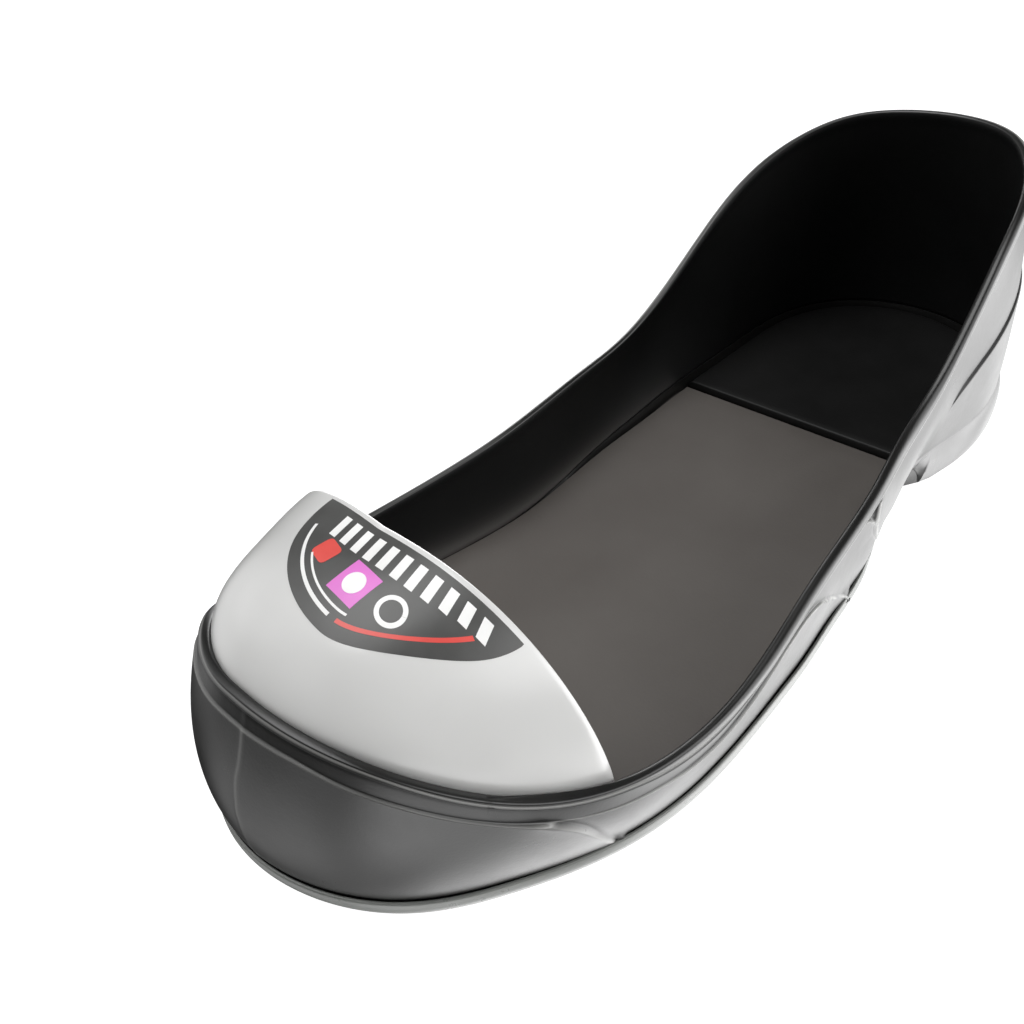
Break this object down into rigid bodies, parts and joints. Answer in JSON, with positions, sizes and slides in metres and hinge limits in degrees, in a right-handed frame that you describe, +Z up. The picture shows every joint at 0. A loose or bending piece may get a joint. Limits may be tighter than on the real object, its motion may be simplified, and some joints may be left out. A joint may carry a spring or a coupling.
{
  "type": "safety toe overshoe",
  "caption": "Low moulded rubber overshoe for the left foot with an open collar, a hard domed toe cap, a footbed with a raised heel seat and a lugged outsole.",
  "frame": {"origin": "centre of the bounding box's bottom face, on the ground under the middle of the shoe", "axes": "+Y points to the heel and -Y to the toe, +X to the outer (little toe) side, +Z up"},
  "size_m": [0.1232, 0.3018, 0.087],
  "materials": {
    "upper": "smooth moulded rubber, satin gloss outside",
    "outsole": "moulded rubber with a textured lugged tread",
    "toe_cap": "light grey smooth satin gloss paint",
    "insole": "dark grey satin foam board",
    "heel_seat": "smooth black rubber"
  },
  "bodies": {
    "root": {"upper": "upper", "outsole": "outsole", "toe_cap": "toe_cap", "insole": "insole", "heel_seat": "heel_seat"}
  },
  "joints": []
}
